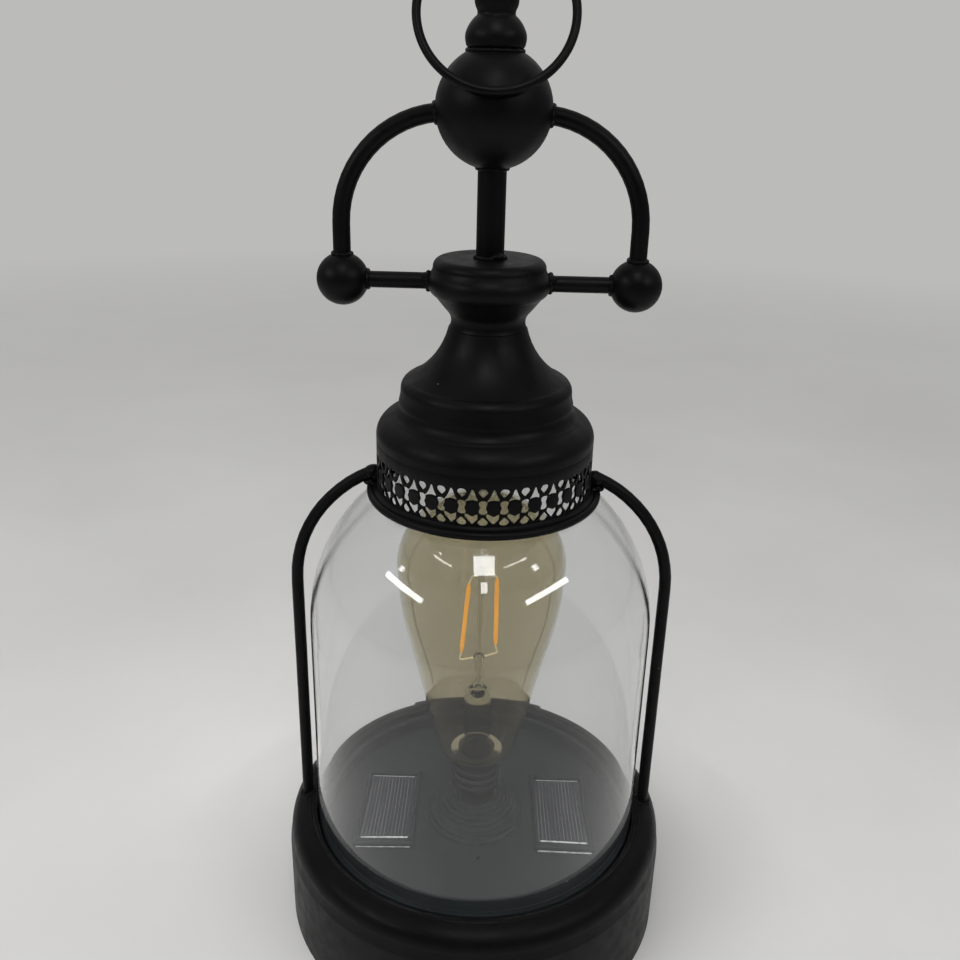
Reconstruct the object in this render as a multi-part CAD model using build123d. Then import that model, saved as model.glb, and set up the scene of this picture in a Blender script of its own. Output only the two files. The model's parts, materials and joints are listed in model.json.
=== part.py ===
from build123d import *
import math
import os

# Solar garden light: a glass dome lantern with a filament style bulb, a weatherproof solar
# unit in its base, a pierced and moulded metal top, scroll arms and a hanging ring.
# Millimetres. +Z is up, +X is to the right when the front faces -Y.
# The origin is the middle of the rim that the lantern stands on.

# ---- driving dimensions -------------------------------------------------------------

sheet = 1.2  # thickness of the base's steel sheet
base_radius = 78.0
skirt_height = 34.2  # the straight part of the base's side
lip_radius = 69.2  # crest of the lip round the glass
lip_height = 47.3
opening_radius = 66.8  # the hole in the base that the dome stands in

dome_radius = 66.0
dome_glass = 2.0
dome_bottom = 38.2
dome_spring = 136.2  # where the straight wall turns into the round top

deck_top = 39.0
deck_rim_height = 45.0
pan_radius = 60.8
seat_height = 36.6  # the ledge that the gasket lies on
unit_bottom = 5.6

cell_offset = 36.5  # middle of each solar cell, either side of the lamp
cell_size = (20.0, 38.0)
frame_size = (23.6, 43.6)

pedestal_radius = 20.4
pedestal_steps = 6
holder_bottom = 49.2
holder_top = 71.2

bulb_glass_wall = 0.8
bulb_radius = 32.4
bulb_widest = 158.2
bulb_top = 186.2

arm_offset = 71.3  # the side arms, from the middle
arm_radius = 2.3
arm_bend_height = 149.2
arm_bend_radius = 50.0

band_radius = 39.5
band_wall = 0.8
band_bottom = 190.4
band_top = 209.6
lattice_repeats = 34

ring_wire = 1.5
ring_centreline = 41.8
collar_height = 266.2  # middle of the collar's bead, where the cross rods join
waist_height = 250.6
collar_top = 274.6

cross_rod_radius = 2.8
small_ball_offset = 50.3
small_ball_radius = 8.95
scroll_radius = 3.0
scroll_bend = 35.9
scroll_top = 320.8  # middle of the scroll arms where they meet the big ball
stem_radius = 4.8
big_ball_height = 322.2
big_ball_radius = 19.1

eye_height = 372.2
eye_radius = 6.6
eye_hole_radius = 2.6
hang_ring_radius = 24.3
hang_wire = 1.4
hang_lean = 24.3  # degrees that the resting ring leans forward onto the ball

cover_bottom = 3.2
cover_top = 5.6
cover_radius = 76.2
bay_centre_y = 30.0
bay_size = (62.0, 19.0)
bay_wall = 1.6
bay_top = 26.0
door_size = (75.5, 23.5)
door_screw_x = 34.6
battery_radius = 7.1
battery_length = 50.0
battery_height = 16.6
contact_low = 9.6

board_height = 16.0
board_centre_y = -30.0
switch_centre_y = -30.0

os.makedirs("parts", exist_ok=True)


# ---- helpers ------------------------------------------------------------------------


def upright(r, z):
    """A point of a turned outline, in the XZ plane."""
    return (r, 0, z)


def outline(start, *steps):
    """Closed face in the XZ plane. A step is a corner, or (middle, end) for an arc."""
    edges = []
    here = start
    for step in steps + (start,):
        if isinstance(step[0], tuple):
            middle, end = step
            edges.append(ThreePointArc(upright(*here), upright(*middle), upright(*end)))
        else:
            end = step
            edges.append(Line(upright(*here), upright(*end)))
        here = end
    return make_face(edges)


def turned(start, *steps):
    """Solid of revolution about the lantern's axis."""
    return revolve(outline(start, *steps), Axis.Z)


def tube_ring(r_in, r_out, low, high):
    return turned((r_in, low), (r_out, low), (r_out, high), (r_in, high))


def block(size, centre, low, high):
    """Box of a given X and Y size, standing from one height to another."""
    middle = Pos(centre[0], centre[1], (low + high) / 2)
    return middle * Box(size[0], size[1], high - low)


def post(radius, centre, low, high):
    return Pos(centre[0], centre[1], (low + high) / 2) * Cylinder(radius, high - low)


def rod(path, radius):
    """Round bar that follows a path."""
    section = Plane(path @ 0, z_dir=path % 0) * Circle(radius)
    return sweep(section, path=path)


def straight_rod(start, end, radius):
    return rod(Line(start, end), radius)


def bent_wire(points, radius, bend):
    return rod(FilletPolyline(*points, radius=bend), radius)


def around(count, first=0.0):
    """Angles of evenly spaced repeats, in degrees."""
    return [first + 360 / count * k for k in range(count)]


def mirrored(shape):
    return mirror(shape, about=Plane.YZ)


def save(name, *shapes):
    """Write one node. Several shapes stay separate solids of one group."""
    solids = []
    for shape in shapes:
        solids += shape.solids()
    result = solids[0] if len(solids) == 1 else Compound(children=solids)
    export_step(result, f"parts/{name}.step")


def save_pair(name, right):
    save(f"{name}_right", right)
    save(f"{name}_left", mirrored(right))


# ---- base shell and its fixing lugs -------------------------------------------------

shell_outside = (
    (base_radius, 0),
    (base_radius, skirt_height),
    (base_radius - 0.7, skirt_height + 4.3),
    ((75.0, 44.6), (70.0, 46.9)),
    ((lip_radius, lip_height), (68.4, 46.8)),
)
base_shell = turned(
    *shell_outside,
    (opening_radius + 0.4, 46.4),
    (opening_radius, 45.8),
    (opening_radius, 41.8),
    (opening_radius + sheet, 41.8),
    (opening_radius + sheet, 45.2),
    (70.0, 45.5),
    ((74.1, 43.6), (base_radius - 0.7 - sheet, skirt_height + 3.9)),
    (base_radius - sheet, skirt_height),
    (base_radius - sheet, 0),
)
save("base_shell", base_shell)

lug_width = 12.0
lug_screw_radius = 72.6
lug_angles = around(3, first=30)


def shell_lug(angle):
    """Welded bracket that the bottom cover is screwed to."""
    outer = base_radius - sheet - 0.05
    foot = block((outer - 68.6, lug_width), ((outer + 68.6) / 2, 0), cover_top, cover_top + 1.4)
    wall = block((1.4, lug_width), (outer - 1.4, 0), cover_top, cover_top + 11)
    lug = (foot + wall) & Cylinder(outer, 60)
    lug -= post(1.3, (lug_screw_radius, 0), 0, 20)
    return Rot(0, 0, angle) * lug


save("shell_lugs", *[shell_lug(a) for a in lug_angles])

# ---- solar unit: deck, gasket, cells ------------------------------------------------

deck = turned(
    (0, deck_top - 2),
    (60.0, deck_top - 2),
    (60.0, seat_height - 1.8),
    (64.6, seat_height - 1.8),
    (64.6, unit_bottom),
    (66.4, unit_bottom),
    (66.4, seat_height),
    (62.8, seat_height),
    (62.8, deck_rim_height - 1.6),
    (63.7, deck_rim_height - 1.4),
    (63.7, deck_rim_height - 0.4),
    ((63.5, deck_rim_height - 0.1), (63.2, deck_rim_height)),
    (pan_radius + 0.9, deck_rim_height),
    ((pan_radius + 0.4, deck_rim_height - 0.2), (pan_radius + 0.2, deck_rim_height - 0.7)),
    (pan_radius, deck_top + 0.8),
    ((pan_radius - 0.25, deck_top + 0.2), (pan_radius - 0.9, deck_top)),
    (0, deck_top),
)
deck -= post(5.0, (0, 0), deck_top - 5, deck_top + 5)
for side in (-1, 1):
    deck -= post(1.2, (side * cell_offset, 0), deck_top - 5, deck_top + 5)

nub_radius = 1.3
nub_length = 4.4
nub_centre = (1.0, -24.6)
nub_top = deck_top + 1.4
nub = block((2 * nub_radius, nub_length), nub_centre, deck_top, nub_top)
for end in (-1, 1):
    end_centre = (nub_centre[0], nub_centre[1] + end * nub_length / 2)
    nub += post(nub_radius, end_centre, deck_top, nub_top)
deck += nub

deck_boss_radius = 50.0
deck_boss_angles = around(4)
for angle in deck_boss_angles:
    boss = post(4.0, (deck_boss_radius, 0), unit_bottom, deck_top - 1)
    boss -= post(1.35, (deck_boss_radius, 0), unit_bottom - 1, unit_bottom + 12)
    deck += Rot(0, 0, angle) * boss
save("solar_deck", deck)

save("dome_gasket", tube_ring(63.1, 66.2, seat_height, dome_bottom - 0.05))

frame_top = deck_top + 2.3
cell_frame = block(frame_size, (cell_offset, 0), deck_top, frame_top)
cell_frame = chamfer(cell_frame.edges().group_by(Axis.Z)[-1], 0.6)
cell_frame -= block(
    (cell_size[0] + 0.3, cell_size[1] + 0.3), (cell_offset, 0), deck_top, frame_top + 1
)
save_pair("cell_frame", cell_frame)
save_pair("solar_cell", block(cell_size, (cell_offset, 0), deck_top, deck_top + 1.5))

# ---- glass dome ---------------------------------------------------------------------


def dome_height(r):
    """Height of the dome's outside at a distance from the axis."""
    return dome_spring + math.sqrt(dome_radius**2 - r**2)


def dome_arc_middle(radius):
    half = math.sqrt(0.5) * radius
    return (half, dome_spring + half)


dome_inner = dome_radius - dome_glass
glass_dome = turned(
    (dome_inner, dome_bottom),
    (dome_radius, dome_bottom),
    (dome_radius, dome_spring),
    (dome_arc_middle(dome_radius), (0, dome_spring + dome_radius)),
    (0, dome_spring + dome_inner),
    (dome_arc_middle(dome_inner), (dome_inner, dome_spring)),
)
save("glass_dome", glass_dome)

# ---- lamp: pedestal, holder, bulb ---------------------------------------------------

step_run = (pedestal_radius - 10.6) / pedestal_steps
step_rise = (holder_bottom - deck_top - 1.2) / pedestal_steps
pedestal_corners = [(5.6, deck_top), (pedestal_radius, deck_top)]
for k in range(pedestal_steps + 1):
    tread = deck_top + 1.2 + k * step_rise
    corner = pedestal_radius - k * step_run
    pedestal_corners.append((corner, tread))
    if k < pedestal_steps:
        pedestal_corners.append((corner - step_run, tread))
pedestal_corners.append((5.6, holder_bottom))
save("lamp_pedestal", turned(*pedestal_corners))

holder_neck = 8.8
rib_radius = 10.3
rib_pitch = 3.7
rib_first = 54.7
holder_steps = [(holder_neck, holder_bottom), (holder_neck, rib_first)]
for k in range(3):
    low = rib_first + k * rib_pitch
    holder_steps.append((9.2, low + 0.2))
    holder_steps.append(((rib_radius, low + rib_pitch / 2), (9.2, low + rib_pitch - 0.2)))
holder_steps += [
    (9.2, 65.8),
    (10.4, 66.4),
    (10.6, holder_top),
    (6.2, holder_top),
    (6.2, holder_bottom),
]
save("lamp_holder", turned(*holder_steps))

bulb_side = [(14.7, 74.2), (17.6, 82.2), (21.2, 96.2), (25.2, 114.2), (30.6, 138.2)]

# The bulb's crown is a tight arc from its widest point that runs into a flatter one.
crown_tight_centre = 0.25 * bulb_radius
crown_tight = bulb_radius - crown_tight_centre
crown_excess = bulb_top - bulb_widest - crown_tight
crown_drop = (crown_tight_centre**2 - crown_excess**2) / (2 * crown_excess)
crown_flat = bulb_top - bulb_widest + crown_drop
crown_turn = math.atan2(crown_drop, crown_tight_centre)


def crown_point(inset, turn):
    """A point of the crown, by the direction in which the glass faces there."""
    if turn <= crown_turn:
        centre = (crown_tight_centre, bulb_widest)
        radius = crown_tight - inset
    else:
        centre = (0, bulb_widest - crown_drop)
        radius = crown_flat - inset
    return upright(centre[0] + radius * math.cos(turn), centre[1] + radius * math.sin(turn))


def bulb_wall(inset):
    """The bulb's outside, or its inside at a given inset, from its foot to its top."""
    foot = upright(11.0, holder_top + 0.1 + inset)
    shoulder = upright(13.4 - inset, holder_top + 0.9 + inset / 2)
    side = [upright(r - inset, z) for r, z in bulb_side]
    widest = crown_point(inset, 0)
    joint = crown_point(inset, crown_turn)
    top = upright(0, bulb_top - inset)
    return [
        ThreePointArc(foot, shoulder, side[0]),
        Spline(*side, widest, tangents=[(0.3, 0, 1), (0, 0, 1)]),
        ThreePointArc(widest, crown_point(inset, crown_turn / 2), joint),
        ThreePointArc(joint, crown_point(inset, (crown_turn + math.pi / 2) / 2), top),
    ]


bulb_outer = bulb_wall(0)
bulb_inner = bulb_wall(bulb_glass_wall)
bulb_edges = bulb_outer + bulb_inner
bulb_edges.append(Line(bulb_outer[0] @ 0, bulb_inner[0] @ 0))
bulb_edges.append(Line(bulb_outer[-1] @ 1, bulb_inner[-1] @ 1))
save("bulb_glass", revolve(make_face(bulb_edges), Axis.Z))

stem_shoulder = 101.6
lead_exit = 116.0  # where the thick part of the glass rod ends and the lead wires come out
glass_mount = turned(
    (0, holder_top + 0.1),
    (10.8, holder_top + 0.1),
    (10.8, holder_top + 0.9),
    ((7.0, 73.6), (5.6, 80.0)),
    (5.5, 97.0),
    (4.4, 100.2),
    (2.3, stem_shoulder),
    (2.3, lead_exit),
    (1.5, lead_exit + 1.2),
    (1.5, 158.4),
    (2.1, 159.4),
    (2.1, 160.8),
    (0, 161.6),
)
save("glass_mount", glass_mount)

filament_radius = 0.9
filament_ends = {
    "left": ((-7.1, 0, 117.6), (-4.6, 0, 149.0)),
    "right": ((6.5, 0, 121.2), (6.2, 0, 151.8)),
}
filaments = {}
for side, (low, high) in filament_ends.items():
    filaments[side] = straight_rod(low, high, filament_radius)
    save(f"filament_{side}", filaments[side])

support_wire = 0.4
lead_slope = {"left": -1.9, "right": 2.0}  # how far each lead wire climbs on its way outwards
supports = []
for side, (low, high) in filament_ends.items():
    out = math.copysign(1, low[0])
    corner = (low[0] + out * 0.8, 0, lead_exit + lead_slope[side])
    lead = bent_wire(
        [(out * 1.0, 0, lead_exit - 0.5), corner, (low[0], 0, low[2] + 0.2)],
        support_wire,
        0.7,
    )
    hook = bent_wire(
        [(out * 1.0, 0, 152.0), (out * 3.2, 0, high[2] + 3.4), (high[0], 0, high[2] - 0.2)],
        support_wire,
        0.9,
    )
    supports += [lead - glass_mount - filaments[side], hook - glass_mount - filaments[side]]
save("filament_supports", *supports)

# ---- neck ring and side arms --------------------------------------------------------

ring_slope = ring_centreline / (dome_height(ring_centreline) - dome_spring)
ring_height = dome_height(ring_centreline) + (ring_wire + 0.3) * math.hypot(1, ring_slope)
save("neck_ring", Pos(0, 0, ring_height) * Torus(ring_centreline, ring_wire))

arm_centre_x = arm_offset - arm_bend_radius
arm_sweep = 66.0
arm_end = (
    arm_centre_x + arm_bend_radius * math.cos(math.radians(arm_sweep)),
    0,
    arm_bend_height + arm_bend_radius * math.sin(math.radians(arm_sweep)),
)
half_way = math.radians(arm_sweep / 2)
arm_path = Line((arm_offset, 0, skirt_height), (arm_offset, 0, arm_bend_height))
arm_path += ThreePointArc(
    (arm_offset, 0, arm_bend_height),
    (
        arm_centre_x + arm_bend_radius * math.cos(half_way),
        0,
        arm_bend_height + arm_bend_radius * math.sin(half_way),
    ),
    arm_end,
)
base_solid = turned((0, 0), *shell_outside, (0, 46.8))
side_arm = rod(arm_path, arm_radius) - base_solid
side_arm -= Cylinder(band_radius, 500)
side_arm -= Pos(0, 0, ring_height) * Torus(ring_centreline, ring_wire)
save_pair("side_arm", side_arm)

# ---- pierced band -------------------------------------------------------------------

band_middle = 198.8
repeat_angle = 360 / lattice_repeats
flange_thickness = 0.8
flange_radius = ring_centreline - 0.6 * ring_wire
band = tube_ring(band_radius - band_wall, band_radius, band_bottom, band_top)
band += tube_ring(
    band_radius - band_wall, flange_radius, band_bottom, band_bottom + flange_thickness
)
band -= Pos(0, 0, ring_height) * Torus(ring_centreline, ring_wire)


def pierced(half_points, up, angle):
    """Hole through the band, given by its right half's corners from the bottom to the top."""
    left_half = [(-across, height) for across, height in reversed(half_points) if across > 0]
    corners = [
        (band_radius - 4, across, band_middle + up + height)
        for across, height in list(half_points) + left_half
    ]
    face = make_face(Polyline(*corners, close=True))
    return Rot(0, 0, angle) * extrude(face, amount=8, dir=(1, 0, 0))


# Each hole is given by its right half's corners and its height above the band's middle.
waisted_hole = ([(0.7, -2.2), (1.3, -1.5), (1.0, 0), (1.3, 1.5), (0.7, 2.2)], 0)
upper_gem = ([(0, -1.4), (1.6, 0.15), (0.85, 1.35)], 5.2)
lower_gem = ([(0.85, -1.35), (1.6, -0.15), (0, 1.4)], -5.1)
triangle = ([(0, 2.45), (2.3, 2.05), (0.3, 6.1)], 0)
heart = ([(0.25, -5.7), (2.35, -2.85), (1.6, -2.35), (0, -3.0)], 0)

holes = []
for angle in around(lattice_repeats, first=-90):
    for half_points, up in (waisted_hole, upper_gem, lower_gem):
        holes.append(pierced(half_points, up, angle))
    for half_points, up in (triangle, heart):
        holes.append(pierced(half_points, up, angle + repeat_angle / 2))
save("lattice_band", band.cut(*holes))

# ---- roof and collar ----------------------------------------------------------------

roof = turned(
    (band_radius, band_top),
    (band_radius, 212.0),
    ((38.3, 215.4), (34.3, 218.5)),
    ((33.6, 219.1), (33.0, 219.4)),
    ((31.7, 221.2), (31.3, 223.9)),
    ((30.8, 226.0), (30.6, 228.6)),
    ((29.8, 230.8), (27.6, 232.2)),
    ((19.2, 239.4), (13.8, waist_height)),
    (12.8, waist_height),
    ((18.2, 238.9), (26.6, 231.2)),
    (29.4, 229.0),
    (29.6, 226.0),
    (30.2, 221.6),
    (32.2, 218.4),
    (36.8, 214.6),
    (band_radius - 1, 212.0),
    (band_radius - 1, band_top),
)
save("roof", roof)

collar_outside = (
    (13.6, waist_height),
    ((13.0, 253.4), (14.2, 256.2)),
    ((16.4, 258.8), (18.6, 261.6)),
    ((21.3, collar_height), (20.3, 269.2)),
    (19.9, 269.9),
    (19.4, 271.1),
    ((18.7, 273.4), (16.6, collar_top - 0.2)),
)
collar_solid = turned((0, waist_height), *collar_outside, (0, collar_top))
collar = turned(
    (12.6, waist_height),
    *collar_outside,
    (0, collar_top),
    (0, collar_top - 1),
    (16.0, collar_top - 1.3),
    (18.3, 271.0),
    (20.1, collar_height),
    (17.6, 262.2),
    (13.1, 256.8),
    (11.9, 253.4),
)
save("collar", collar)

# ---- cross rods, small balls, scroll arms, stem, big ball ---------------------------

small_ball = Pos(small_ball_offset, 0, collar_height) * Sphere(small_ball_radius)
save_pair("small_ball", small_ball)

cross_rod = straight_rod((15, 0, collar_height), (46, 0, collar_height), cross_rod_radius)
save_pair("cross_rod", cross_rod - collar_solid - small_ball)

big_ball = Pos(0, 0, big_ball_height) * Sphere(big_ball_radius)
save("big_ball", big_ball)
save("stem", post(stem_radius, (0, 0), collar_top, big_ball_height) - big_ball)

bend_x = small_ball_offset - scroll_bend
bend_z = scroll_top - scroll_bend
half_turn = math.sqrt(0.5) * scroll_bend
scroll_path = Line((small_ball_offset, 0, collar_height), (small_ball_offset, 0, bend_z))
scroll_path += ThreePointArc(
    (small_ball_offset, 0, bend_z),
    (bend_x + half_turn, 0, bend_z + half_turn),
    (bend_x, 0, scroll_top),
)
save_pair("scroll_arm", rod(scroll_path, scroll_radius) - small_ball - big_ball)

# ---- finial with the eye for the hanging ring ---------------------------------------

finial = turned(
    (0, 336.0),
    (9.3, 336.0),
    (9.3, 339.8),
    ((9.75, 342.6), (9.2, 345.4)),
    ((8.2, 347.2), (6.1, 349.4)),
    ((6.0, 350.2), (6.3, 351.2)),
    ((6.95, 354.4), (5.6, 357.4)),
    ((3.9, 359.2), (3.3, 362.4)),
    (3.3, 367.0),
    (0, 367.0),
)
finial += Pos(0, 0, eye_height) * Sphere(eye_radius)
finial -= big_ball
finial -= Pos(0, 0, eye_height) * Rot(0, 90, 0) * Cylinder(eye_hole_radius, 3 * eye_radius)
save("finial", finial)

hang_ring = Rot(90, 0, 0) * Torus(hang_ring_radius, hang_wire)
hang_ring = Pos(0, 0, eye_height) * Rot(-hang_lean, 0, 0) * Pos(0, 0, -hang_ring_radius) * hang_ring
save("hanging_ring", hang_ring)

# ---- bottom cover, battery bay and door ---------------------------------------------

bay_centre = (0, bay_centre_y)
bay_outer = (bay_size[0] + 2 * bay_wall, bay_size[1] + 2 * bay_wall)
ledge_height = cover_bottom + 1.4

bottom_cover = post(cover_radius, (0, 0), cover_bottom, cover_top)
bottom_cover += block(bay_outer, bay_centre, cover_top, bay_top)
bottom_cover += post(3.0, (door_screw_x, bay_centre_y), cover_top, 13.0)
bottom_cover -= block(bay_size, bay_centre, cover_bottom - 1, bay_top - bay_wall)
bottom_cover -= block(
    (door_size[0] + 0.6, door_size[1] + 0.6), bay_centre, cover_bottom - 1, ledge_height
)
bottom_cover -= post(1.3, (door_screw_x, bay_centre_y), 0, 12.0)
for angle in deck_boss_angles:
    bottom_cover -= Rot(0, 0, angle) * post(1.5, (deck_boss_radius, 0), 0, 8)
for angle in lug_angles:
    bottom_cover -= Rot(0, 0, angle) * post(1.5, (lug_screw_radius, 0), 0, 8)

board_post_places = [(-16, board_centre_y), (16, board_centre_y)]
for place in board_post_places:
    bottom_cover += post(2.6, place, cover_top, board_height)
    bottom_cover -= post(0.9, place, board_height - 6, board_height + 1)

slot_size = (8.4, 3.4)
bottom_cover -= block(slot_size, (0, switch_centre_y), 0, 8)
save("bottom_cover", bottom_cover)

battery_door = block(door_size, bay_centre, cover_bottom, ledge_height - 0.05)
for k in range(5):
    groove_x = -30 + 2.4 * k
    battery_door -= block((1.0, 12), (groove_x, bay_centre_y), 0, cover_bottom + 0.5)
battery_door -= post(1.35, (door_screw_x, bay_centre_y), 0, 8)
save("battery_door", battery_door)


def pan_screw(radius, head_radius, centre, seat, length):
    """Self-tapping screw driven upwards, with a cross recess in its head."""
    head = post(head_radius, centre, seat - 1.2, seat)
    shank = post(radius, centre, seat, seat + length)
    recess = block((2.4, 0.6), centre, seat - 2, seat - 0.6)
    recess += block((0.6, 2.4), centre, seat - 2, seat - 0.6)
    return head + shank - recess


save(
    "battery_door_screw",
    pan_screw(1.2, 2.3, (door_screw_x, bay_centre_y), cover_bottom - 0.02, 8),
)
save(
    "deck_screws",
    *[
        Rot(0, 0, angle) * pan_screw(1.3, 2.6, (deck_boss_radius, 0), cover_bottom, 11)
        for angle in deck_boss_angles
    ],
)
save(
    "cover_screws",
    *[
        Rot(0, 0, angle) * pan_screw(1.25, 2.6, (lug_screw_radius, 0), cover_bottom, 6)
        for angle in lug_angles
    ],
)

# ---- battery and its contacts -------------------------------------------------------

along_x = Rot(0, 90, 0)
battery_place = Pos(0.8, bay_centre_y, battery_height)
battery = battery_place * along_x * Cylinder(battery_radius, battery_length)
battery += battery_place * Pos(battery_length / 2 + 0.5, 0, 0) * along_x * Cylinder(2.7, 1.4)
save("battery", battery)

bay_end = bay_size[0] / 2
contact_plate = block(
    (0.5, 10), (bay_end - 0.35, bay_centre_y), contact_low, battery_height + 5
)
contact_plate += block(
    (2.6, 3), (bay_end - 1.6, bay_centre_y), battery_height - 1, battery_height + 1
)
save("contact_plate", contact_plate)

spring_wire = 0.4
spring_length = 4.2
spring_back = -bay_end + 0.7
coil = Helix(pitch=1.5, height=spring_length, radius=3.0)
coil_section = Plane(coil @ 0, z_dir=coil % 0) * Circle(spring_wire)
spring = sweep(coil_section, path=coil, is_frenet=True)
spring = Pos(spring_back + spring_wire, bay_centre_y, battery_height) * along_x * spring
save("contact_spring", spring)
save(
    "spring_plate",
    block((0.5, 10), (-bay_end + 0.35, bay_centre_y), contact_low, battery_height + 5),
)

# ---- circuit board and switch -------------------------------------------------------

board_top = board_height + 1.4
board = block((42, 26), (0, board_centre_y), board_height, board_top)
for place in board_post_places:
    board -= post(1.1, place, board_height - 1, board_top + 1)
save("circuit_board", board)

inductor = post(3.2, (8, board_centre_y + 6), board_top, board_top + 4.5)
capacitor = post(2.5, (-8, board_centre_y + 6), board_top, board_top + 7)
driver_chip = block((5, 4), (0, board_centre_y), board_top, board_top + 1.5)
save("board_components", inductor, capacitor, driver_chip)


def board_screw(place):
    head = post(2.0, place, board_top, board_top + 1.3)
    return head + post(0.85, place, board_top - 5, board_top)


save("board_screws", *[board_screw(place) for place in board_post_places])

switch_centre = (0, switch_centre_y)
switch_body = block((15, 7), switch_centre, cover_top, cover_top + 6)
switch_body -= block((12, 5), switch_centre, cover_top - 1, cover_top + 4.2)
save("switch_body", switch_body)

slider_x = -1.6  # where the knob stands when the light is off
slider = block((6, 4.4), (slider_x, switch_centre_y), cover_top + 0.3, cover_top + 2)
slider += block((4, 2.8), (slider_x, switch_centre_y), cover_bottom - 1.6, cover_top + 0.3)
for k in (-1, 0, 1):
    ridge_x = slider_x + 1.2 * k
    slider -= block((0.5, 4), (ridge_x, switch_centre_y), cover_bottom - 2, cover_bottom - 1.2)
save("switch_knob", slider)

# ---- lead wires, held inside --------------------------------------------------------

lead_radius = 0.6
leads = []
for side in (-1, 1):
    leads.append(
        bent_wire(
            [
                (side * 3.2, board_centre_y + 10, board_top),
                (side * 3.2, board_centre_y + 10, 27),
                (side * 2.4, 0, 33),
                (side * 2.4, 0, holder_top - 8),
            ],
            lead_radius,
            4,
        )
    )
    leads.append(
        bent_wire(
            [
                (side * 17, board_centre_y + 9, board_top),
                (side * 17, board_centre_y + 9, 27),
                (side * cell_offset, -8, 30),
                (side * cell_offset, 0, 32),
                (side * cell_offset, 0, deck_top - 0.1),
            ],
            lead_radius,
            2.5,
        )
    )
save("lead_wires", *leads)
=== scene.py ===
import json
import math
import random

import bpy
from mathutils import Matrix, Vector, noise
from mathutils.geometry import delaunay_2d_cdt


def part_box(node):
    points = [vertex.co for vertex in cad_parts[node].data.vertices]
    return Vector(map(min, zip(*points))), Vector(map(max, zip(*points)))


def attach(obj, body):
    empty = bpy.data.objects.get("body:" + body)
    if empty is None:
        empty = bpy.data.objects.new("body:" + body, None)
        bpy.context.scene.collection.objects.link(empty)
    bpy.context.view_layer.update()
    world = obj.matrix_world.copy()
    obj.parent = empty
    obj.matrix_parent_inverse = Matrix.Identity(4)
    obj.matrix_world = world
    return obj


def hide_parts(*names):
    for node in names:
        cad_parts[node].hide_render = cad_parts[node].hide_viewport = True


# Solar garden light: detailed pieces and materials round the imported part. Lengths are in
# millimetres, with outlines given as (radius, height) from the light's upright axis and its
# underside, and make_mesh turns them into metres. Lights, floor and camera are in metres.

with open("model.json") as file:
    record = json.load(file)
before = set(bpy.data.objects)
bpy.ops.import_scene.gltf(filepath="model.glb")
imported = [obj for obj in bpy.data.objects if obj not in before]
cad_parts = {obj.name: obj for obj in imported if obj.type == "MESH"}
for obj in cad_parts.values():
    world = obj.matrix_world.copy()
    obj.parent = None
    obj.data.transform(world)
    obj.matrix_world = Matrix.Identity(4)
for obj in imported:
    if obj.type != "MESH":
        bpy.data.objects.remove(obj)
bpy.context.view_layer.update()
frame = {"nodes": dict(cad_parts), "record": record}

MM = 0.001
LATHE_TURNS = 180  # segments round a turned piece
ARC_STEP = math.radians(6)  # longest step along an arc of an outline
PATH_STEP = 4  # longest step along the path of a bent rod
RANGE_SOCKETS = ("From Min", "From Max", "To Min", "To Max")


def box_mm(node):
    low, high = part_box(node)
    return low / MM, high / MM


def middle_mm(node):
    low, high = box_mm(node)
    return (low + high) / 2


# ---- sizes taken from the frame -----------------------------------------------------

base_radius = box_mm("base_shell")[1].x
dome_radius = box_mm("glass_dome")[1].x
dome_top = box_mm("glass_dome")[1].z
dome_bottom = box_mm("glass_dome")[0].z
dome_spring = dome_top - dome_radius
band_radius = box_mm("roof")[1].x
band_bottom = box_mm("lattice_band")[0].z
band_top = box_mm("lattice_band")[1].z
bulb_radius = box_mm("bulb_glass")[1].x
bulb_top = box_mm("bulb_glass")[1].z
holder_top = box_mm("lamp_holder")[1].z
holder_bottom = box_mm("lamp_holder")[0].z
pedestal_radius = box_mm("lamp_pedestal")[1].x
deck_top = box_mm("lamp_pedestal")[0].z
big_ball_radius = box_mm("big_ball")[1].x
big_ball_centre = middle_mm("big_ball")
small_ball_radius = (box_mm("small_ball_right")[1].z - box_mm("small_ball_right")[0].z) / 2
small_ball_centre = middle_mm("small_ball_right")
cross_rod_radius = box_mm("cross_rod_right")[1].y
scroll_radius = box_mm("scroll_arm_right")[1].y
stem_radius = box_mm("stem")[1].x
arm_radius = box_mm("side_arm_right")[1].y
arm_x = box_mm("side_arm_right")[1].x - arm_radius
ring_wire = (box_mm("neck_ring")[1].z - box_mm("neck_ring")[0].z) / 2
ring_radius = box_mm("neck_ring")[1].x - ring_wire
ring_height = middle_mm("neck_ring").z
collar_height = small_ball_centre.z
collar_top = box_mm("collar")[1].z
waist_height = box_mm("collar")[0].z

# sizes that the frame doesn't give
skirt_height = 34.2  # top of the base's straight side
opening_radius = 66.8  # the base's opening round the dome
lip_radius = 69.2
lip_height = 47.3
sheet = 1.2
dome_wall = 2.0
bulb_wall = 0.8
bulb_widest = bulb_top - 28.0
arm_bend_radius = 50.0
arm_bend_height = 149.2
arm_sweep = math.radians(66)
arm_foot = 46.0  # where the side arms enter the base
scroll_bend = 35.9
scroll_top = 320.8  # middle of the scroll arms where they meet the big ball
band_wall = 0.8
lattice_repeats = 34
eye_height = 372.2  # middle of the finial's eye
eye_radius = 6.6
eye_hole = 2.6
hang_wire = 1.4
hang_radius = 24.3
hang_lean = math.radians(24.3)


# ---- materials ----------------------------------------------------------------------


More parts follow.
